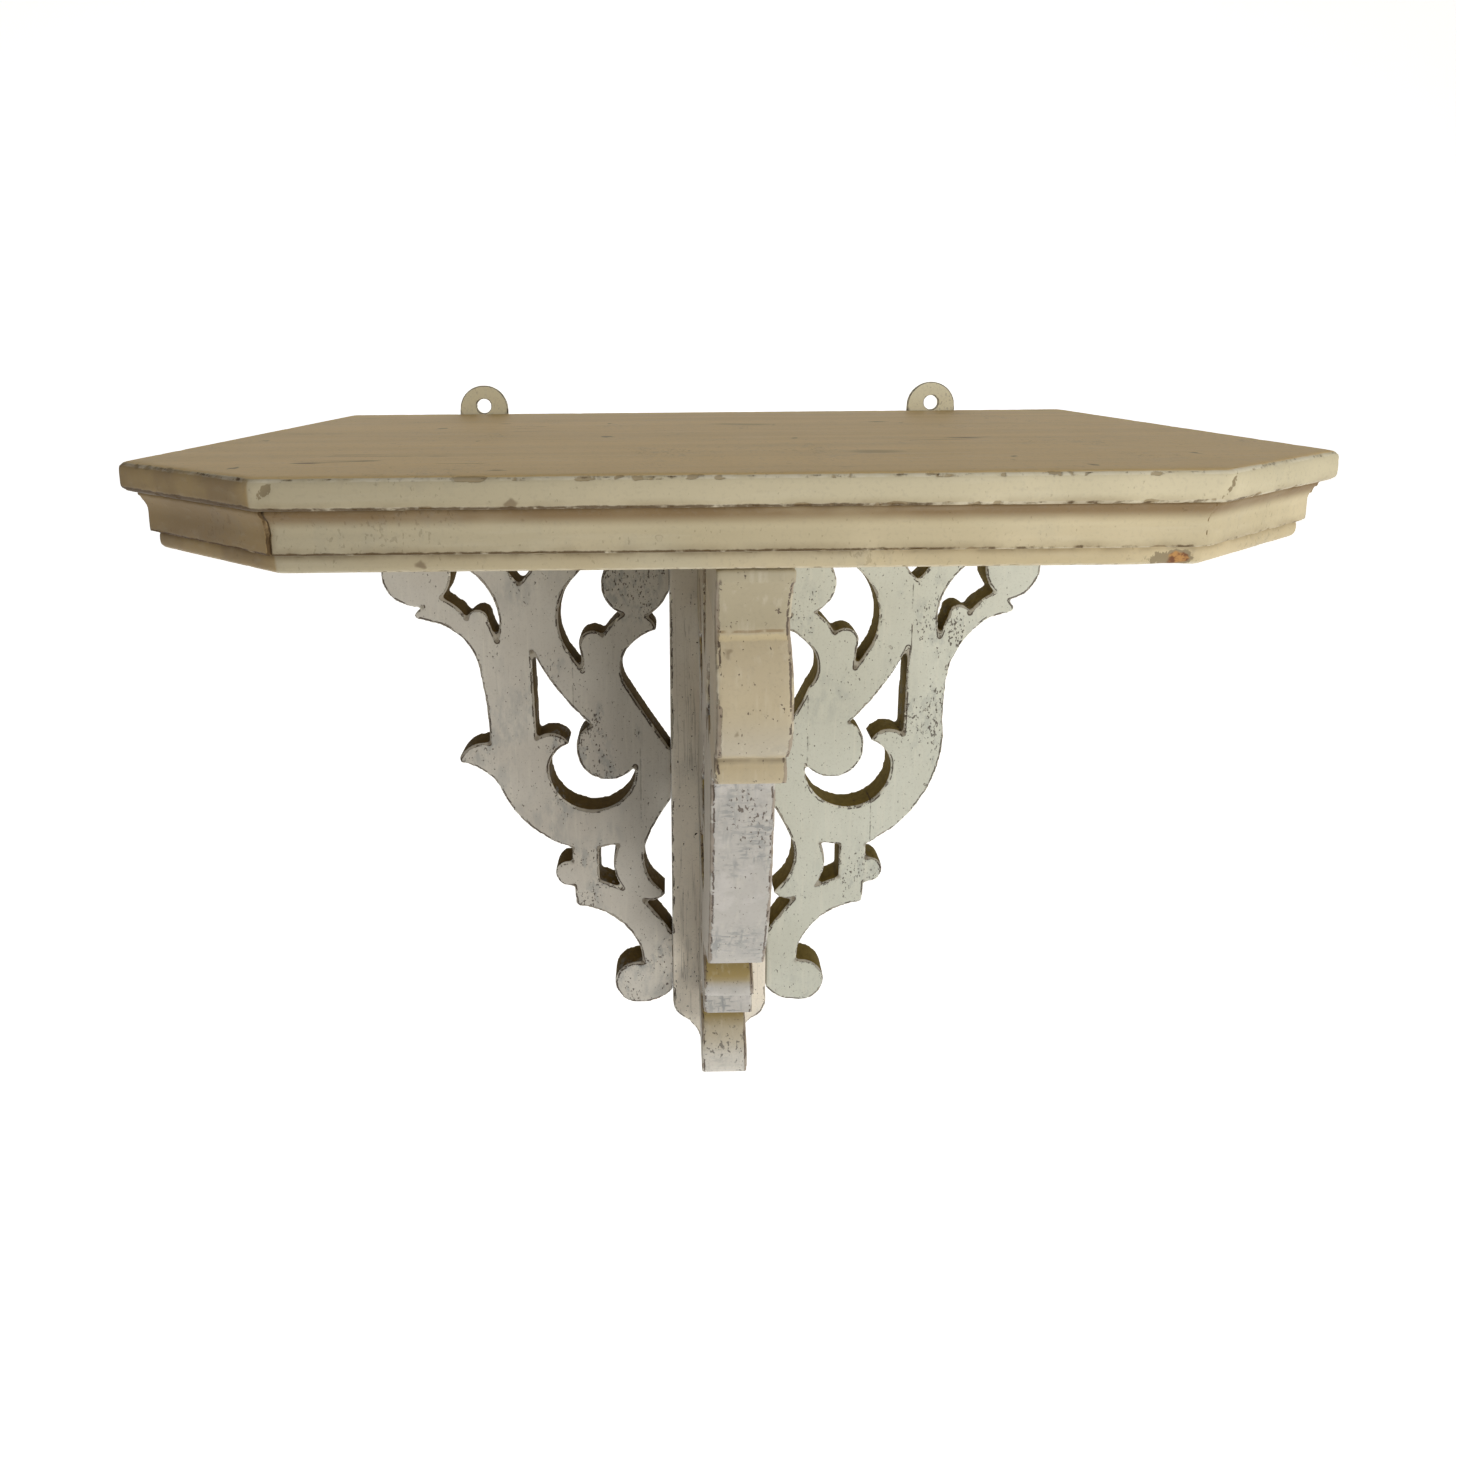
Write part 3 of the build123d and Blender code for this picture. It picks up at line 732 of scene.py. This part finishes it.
# ---------------------------------------------------------------- marks worked out on the meshes
def seams_at(*places):
    """Stretches of a board's glue seams that show: x, from z, to z."""
    def extra(coords, normals):
        gaps = []
        for x, low, high in places:
            beyond = np.maximum(np.maximum(low - coords[:, 2], coords[:, 2] - high), 0.0)
            gaps.append(np.abs(coords[:, 0] - x) + 0.2 * beyond)
        return coords, {"seam": np.min(gaps, axis=0)}
    return extra


# The two mitres of the frame's left half: a point on each, and the direction across it
MITRES = (((-0.3015, -0.2165), (0.5377, -0.8431)), ((-0.208, -0.260), (0.9764, -0.2160)))


def across_mitres(coords):
    """For each mitre, mirrored to both halves: signed distance to it, and the direction across."""
    for (x, y), (nx, ny) in MITRES:
        yield (-np.abs(coords[:, 0]) - x) * nx + (coords[:, 1] - y) * ny, nx, ny


def mitre_gap(coords):
    """Distance to the nearest mitre; those on the right count as further off, so they stay shut."""
    shut = 1.6 * MM * (coords[:, 0] > 0)
    return np.min([np.abs(offset) + shut for offset, _, _ in across_mitres(coords)], axis=0)


def close_right_mitres(coords):
    """The mitres on the right are still tight: the strips' ends run into each other."""
    for offset, nx, ny in across_mitres(coords):
        fade = np.clip((4 * MM - np.abs(offset)) / (3 * MM), 0.0, 1.0) * (coords[:, 0] > 0)
        push = -np.sign(offset) * 1.3 * MM * fade
        coords[:, 0] -= push * nx
        coords[:, 1] += push * ny
    return coords


def joints_at(level, mitres=True):
    """The joint line at this height and the mitres, with the front left one open."""
    def extra(coords, normals):
        joint = np.abs(coords[:, 2] - level)
        joint[normals[:, 2] >= 0.5] = FAR
        seam = np.full(len(coords), FAR)
        if mitres:
            seam = mitre_gap(coords)
            front_left = (coords[:, 0] < 0) & (coords[:, 1] < -0.23)
            joint = np.where(front_left, np.minimum(joint, seam - 0.5 * MM), joint)
            coords = close_right_mitres(coords)
        return coords, {"joint": joint, "seam": seam}
    return extra


# Paint lost at the top's front corners: middle (x, z), half width and half height
SCARS = (((-0.2015, -0.0125), (0.0032, 0.0036)), ((0.2075, -0.0140), (0.0016, 0.0065)))


def scarred_corners(coords, normals):
    """Joint line, and paint lost down to the grey at the two front corners of the top."""
    coords, marks = joints_at(TOP_LOW[2] + 1.2 * MM, mitres=False)(coords, normals)
    marks["joint"] = marks["joint"] - 1.5 * MM * np.clip(-normals[:, 0], 0.0, 0.5) / 0.5
    bare = np.zeros(len(coords))
    for (x, z), (reach_x, reach_z) in SCARS:
        slant = 0.6 * (coords[:, 2] - z)
        spread = ((coords[:, 0] - x - slant) / reach_x) ** 2 + ((coords[:, 2] - z) / reach_z) ** 2
        bare = np.maximum(bare, np.clip(1.3 - spread, 0.0, 0.5) * (coords[:, 1] < -0.25))
    coords[:, 1] += 0.5 * MM * (bare > 0.3)
    marks["bare"] = bare
    return coords, marks


# The splinter lost from the under board's front edge: middle, half length, half height, depth
SPLINTER = Vector((0.1912, UNDER_LOW[1], -0.0492))
SPLINTER_REACH = (0.0125, 0.005)
SPLINTER_DEPTH = 1.6 * MM


def knocked_corner(coords, normals):
    """Joint line, and a shallow splinter lost from the lower front edge near the right corner."""
    coords, marks = joints_at(UNDER_HIGH[2], mitres=False)(coords, normals)
    across = (coords[:, 0] - SPLINTER.x) / SPLINTER_REACH[0]
    up = (coords[:, 2] - SPLINTER.z) / SPLINTER_REACH[1]
    rough = np.array([noise.noise(Vector(place) * 260.0) for place in coords])
    fall = np.clip(1.25 - across ** 2 - up ** 2 + 0.35 * rough, 0.0, 1.0)
    fall *= coords[:, 1] < SPLINTER.y + 6 * MM
    coords[:, 1] += SPLINTER_DEPTH * fall * (0.7 + 0.3 * np.clip(across, -1, 1))
    marks["bare"] = fall * np.clip(0.52 + 1.2 * across, 0.5, 1.0)
    return coords, marks


# ---------------------------------------------------------------- finishes
LONG = (0.07, 1, 1)       # grain along X
BROWN_LINE = tone(84, 64, 38)

left_paint = OldPaint(
    "Left wing paint", 3.0, tone(208, 203, 192), tone(196, 189, 177),
    sawn=tone(82, 64, 28), cracks=0.1, seams=0.4, specular=0.12,
)
right_paint = OldPaint(
    "Right wing paint", 17.0, tone(212, 213, 199), tone(202, 202, 187),
    sawn=tone(110, 94, 46), smudges=0.6, wear=0.85, seams=1.0, specular=0.15,
)
post_paint = OldPaint(
    "Post paint", 29.0, tone(226, 219, 204), tone(210, 199, 180),
    sawn=tone(160, 146, 118), tint=post_tint, specks=1.25, smudges=0.6, cracks=0.45,
)
bracket_paint = OldPaint(
    "Bracket paint", 41.0, tone(202, 188, 158), tone(190, 175, 144), tint=bracket_tint,
    smudges=0.5, spots=0.7, rims=0.5, highlight=0.4, clean_above=UNDER_LOW[2],
    line=tone(96, 82, 70), under=tone(146, 130, 114),
)
# Smoother and browner, for everything in the shelf itself
SHELF = {
    "grain": LONG, "streaks": 0.07, "specks": 0.25, "smudges": 0.2, "spots": 0.9, "lines": 1.0,
    "edge": 3.0, "inset": 0.0, "thick": 0.15, "gate": 0.52, "rims": 0.25, "highlight": 0.35,
    "line": BROWN_LINE, "under": tone(150, 130, 96), "dirt": 0.35, "specular": 0.12,
}
moulding_paint = OldPaint(
    "Moulding paint", 53.0, tone(210, 196, 162), tone(194, 181, 148),
    tint=moulding_tint, wear=0.3, seams=1.0, **SHELF,
)
under_paint = OldPaint(
    "Under paint", 55.0, tone(208, 192, 156), tone(194, 178, 142),
    tint=moulding_tint, wear=-0.4, **SHELF,
)
# The left cant and left side: dirtier brown paint with painted shade in it
left_cant_shaded_paint = OldPaint("Left cant shaded paint", 57.0, CANT_SHADED_LIGHT, CANT_SHADED_DARK, seams=1.0, **SHELF)
top_paint = OldPaint(
    "Top paint", 65.0, tone(210, 199, 168), tone(198, 188, 158), tint=top_tint, wear=0.3, **SHELF,
)
plate_paint = OldPaint(
    "Plate paint", 71.0, tone(255, 250, 220), tone(252, 243, 210), specks=0.3, smudges=0.1, edge=1.8,
)
block_paint = OldPaint("Block paint", 83.0, tone(196, 188, 168), tone(180, 170, 150), grain=LONG)
screw_steel = steel("Screw steel", 9.0, tone(126, 120, 112), tone(78, 70, 62))
hidden_wood = bare_wood("Hidden wood", 12.0, LONG)

# ---------------------------------------------------------------- pieces
FRET_VOXEL = 1.5 * MM
BOARD_VOXEL = 1.8 * MM
STRIP_VOXEL = 1.2 * MM
PLATE_VOXEL = 0.5 * MM

# Stretches of open glue seam on the wings: x, from z, to z
left_seams = seams_at((-0.0605, -0.4, -0.3), (-0.118, -0.34, -0.2))
right_seams = seams_at(
    (0.0853, -0.315, -0.255), (0.1413, -0.395, -0.335), (0.173, -0.214, -0.155),
)
worn("left_wing", "Wing_left", left_paint.material, FRET_VOXEL, seed=1.3, extra=left_seams)
worn("right_wing", "Wing_right", right_paint.material, FRET_VOXEL, seed=2.9, extra=right_seams)
worn("back_post", "Post", post_paint.material, FRET_VOXEL, seed=4.1)
worn("centre_bracket", "Bracket", bracket_paint.material, FRET_VOXEL, sharp=0.85, seed=5.7)
worn(
    "top_board", "Top", top_paint.material, BOARD_VOXEL,
    chip=0.35 * MM, rounded=True, seed=6.3, extra=scarred_corners,
)
worn(
    "under_board", "Under_board", under_paint.material, BOARD_VOXEL,
    chip=0.15 * MM, rounded=True, seed=7.7, extra=knocked_corner,
)
strip_joints = joints_at(UNDER_HIGH[2] + 0.4 * MM)
for number, key in enumerate(("left_side", "left_cant", "front", "right_cant", "right_side")):
    paint = left_cant_shaded_paint if key.startswith("left") else moulding_paint
    node = key + "_moulding"
    worn(
        node, node.capitalize(), paint.material, STRIP_VOXEL,
        chip=0.25 * MM, seed=8.0 + number, extra=strip_joints,
    )
for side in ("left", "right"):
    worn(
        side + "_hanging_plate", "Plate_" + side, plate_paint.material, PLATE_VOXEL,
        chip=0.2 * MM, seed=14.0,
    )
worn("glue_blocks", "Glue_blocks", block_paint.material, FRET_VOXEL, seed=15.0)


# ---------------------------------------------------------------- screws that show
THREAD_PITCH = 1.6 * MM
SCREW_SIDES = 48
# The dome and rim of a countersunk head: radius as a part of the head's, height in mm
HEAD_PROFILE = ((0.0, -0.06), (0.45, -0.07), (0.8, -0.11), (0.92, -0.22))


def islands(node):
    """Lowest and highest corner of every separate solid of a node, always in the same order."""
    shell = welded(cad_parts[node].data)
    left = set(shell.verts)
    boxes = []
    while left:
        front = [left.pop()]
        found = []
        while front:
            vertex = front.pop()
            found.append(vertex.co.copy())
            for edge in vertex.link_edges:
                other = edge.other_vert(vertex)
                if other in left:
                    left.remove(other)
                    front.append(other)
        points = np.array(found)
        boxes.append((Vector(points.min(axis=0)), Vector(points.max(axis=0))))
    shell.free()
    return sorted(boxes, key=lambda box: tuple(box[0]))


def screw_outline(head, shank, length):
    """Half section of a countersunk screw with a turned thread, from the head at z = 0 down."""
    outline = [(head * along, drop * MM) for along, drop in HEAD_PROFILE]
    outline.append((shank, shank - head))
    turns = int((length + shank - head - 4 * MM) / THREAD_PITCH)
    for turn in range(turns):
        z = shank - head - 2 * MM - turn * THREAD_PITCH
        outline += [(shank * 0.8, z), (shank, z - 0.5 * THREAD_PITCH)]
    return outline + [(0.3 * shank, -length + 1 * MM), (0.0, -length)]


def turned(outline):
    """A mesh turned round the Z axis from rows of radius and height."""
    shell = bmesh.new()
    angles = [2 * np.pi * step / SCREW_SIDES for step in range(SCREW_SIDES)]
    rows = []
    for radius, z in outline:
        if radius == 0.0:
            rows.append([shell.verts.new((0, 0, z))])
            continue
        rows.append([shell.verts.new((radius * np.cos(a), radius * np.sin(a), z)) for a in angles])
    for upper, lower in zip(rows, rows[1:]):
        for step in range(SCREW_SIDES):
            after = (step + 1) % SCREW_SIDES
            corners = [upper[step % len(upper)], lower[step % len(lower)]]
            corners += [lower[after % len(lower)], upper[after % len(upper)]]
            shell.faces.new(list(dict.fromkeys(corners)))
    bmesh.ops.recalc_face_normals(shell, faces=shell.faces)
    mesh = bpy.data.meshes.new("Screw")
    shell.to_mesh(mesh)
    shell.free()
    return mesh


def slotted_screw(head, shank, length):
    """Countersunk screw along -Z from its head at z = 0, with a sawn slot and a turned thread."""
    blank = add_object("Screw_blank", turned(screw_outline(head, shank, length)))
    box = bmesh.new()
    bmesh.ops.create_cube(box, size=1.0)
    bmesh.ops.scale(box, vec=(4 * head, 0.9 * MM, 2.0 * MM), verts=box.verts)
    cutter_mesh = bpy.data.meshes.new("Slot")
    box.to_mesh(cutter_mesh)
    box.free()
    cutter = add_object("Slot", cutter_mesh)
    cut = blank.modifiers.new("Slot", "BOOLEAN")
    cut.operation = "DIFFERENCE"
    cut.solver = "EXACT"
    cut.object = cutter
    result = evaluated(blank)
    for thing in (blank, cutter):
        bpy.data.objects.remove(thing)
    return result


def screws(node, name, head, shank, length, axis):
    """Slotted screws in place of the CAD's plain ones; axis points out of the head."""
    template = slotted_screw(head, shank, length)
    upright = Vector(axis).to_track_quat("Z", "Y").to_matrix().to_4x4()
    side = max(range(3), key=lambda i: abs(axis[i]))
    joined = bmesh.new()
    for number, (low, high) in enumerate(islands(node)):
        place = (low + high) / 2
        place[side] = high[side] if axis[side] > 0 else low[side]
        turn = Matrix.Rotation(0.6 + 1.9 * number, 4, "Z")
        copy = template.copy()
        copy.transform(Matrix.Translation(place) @ upright @ turn)
        joined.from_mesh(copy)
    mesh = bpy.data.meshes.new(name)
    joined.to_mesh(mesh)
    joined.free()
    mesh.materials.append(screw_steel)
    piece = add_object(name, mesh)
    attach(piece, "root")
    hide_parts(node)
    return piece


screws("hanging_plate_screws", "Plate_screws", 3.6 * MM, 1.8 * MM, 25 * MM, (0, 1, 0))
screws("post_screws", "Post_screws", 4.8 * MM, 2.5 * MM, 40 * MM, (0, 1, 0))
screws("clamp_screws", "Clamp_screws", 4.2 * MM, 2.2 * MM, 40 * MM, (0, 0, -1))

for name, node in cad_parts.items():
    node.data.materials.clear()
    node.data.materials.append(screw_steel if "screws" in name or "pins" in name else hidden_wood)

# ---------------------------------------------------------------- camera, fitted to the photo's perspective
lens = bpy.data.cameras.new("Camera")
lens.sensor_width = 36.0
lens.lens = 14.825
lens.shift_x = 0.03475
lens.shift_y = -0.21774
lens.clip_start = 0.01
lens.dof.use_dof = False
camera = add_object("Camera", lens)
camera.location = (-0.0291, -0.5076, 0.0447)
camera.rotation_euler = (radians(84.292), radians(0.452), radians(-0.450))
scene.camera = camera

# ---------------------------------------------------------------- stage, in metres
FLOOR_Z = -1.05
FLOOR_NEAR = -4.0        # the floor's front edge
BEND_START = 1.4         # where it begins to curve up into the wall
BEND_RADIUS = 0.9
BEND_STEPS = 12
WALL_TOP = 3.2
HALF_WIDTH = 5.0
GLOW = 0.74              # the wall's own light, which keeps it white


def pale_paper():
    g = Graph("Pale sweep")
    shader = g.add("ShaderNodeBsdfPrincipled")
    g.feed(shader.inputs["Base Color"], tone(236, 235, 232))
    g.feed(shader.inputs["Roughness"], 0.9)
    g.feed(shader.inputs["Emission Color"], tone(255, 254, 252))
    g.feed(shader.inputs["Emission Strength"], g.times(g.ramp(g.xyz[1], -1.2, 0.0), GLOW))
    output = g.add("ShaderNodeOutputMaterial")
    g.tree.links.new(shader.outputs[0], output.inputs[0])
    return g.material


def pale_sweep():
    """Pale floor that curves up into a wall behind the object."""
    profile = [(FLOOR_NEAR, FLOOR_Z), (BEND_START, FLOOR_Z)]
    for step in range(1, BEND_STEPS + 1):
        turn = radians(90.0 * step / BEND_STEPS)
        rise = FLOOR_Z + BEND_RADIUS * (1 - np.cos(turn))
        profile.append((BEND_START + BEND_RADIUS * np.sin(turn), rise))
    profile.append((BEND_START + BEND_RADIUS, WALL_TOP))
    points = [(x, y, z) for y, z in profile for x in (-HALF_WIDTH, HALF_WIDTH)]
    faces = [(2 * i, 2 * i + 1, 2 * i + 3, 2 * i + 2) for i in range(len(profile) - 1)]
    mesh = bpy.data.meshes.new("Floor")
    mesh.from_pydata(points, [], faces)
    mesh.polygons.foreach_set("use_smooth", np.ones(len(faces), dtype=bool))
    mesh.materials.append(pale_paper())
    floor = add_object("Floor", mesh)


pale_sweep()

key_place = Vector((0.62, -1.15, -0.08))
key_aim = Vector((0.0, -0.05, -0.22))
key_light = bpy.data.lights.new("Key", "AREA")
key_light.shape = "RECTANGLE"
key_light.size = 0.5
key_light.size_y = 0.7
key_light.energy = 9.2
key_light.color = (1.0, 0.985, 0.955)
key = add_object("Key", key_light)
key.location = key_place
key.rotation_euler = (key_aim - key_place).to_track_quat("-Z", "Y").to_euler()
key.visible_camera = False

world = bpy.data.worlds.new("Studio")
world.use_nodes = True
world.node_tree.nodes["Background"].inputs[0].default_value = (0.9, 0.9, 0.9, 1.0)
world.node_tree.nodes["Background"].inputs[1].default_value = 0.22
scene.world = world
scene.view_settings.view_transform = "Standard"
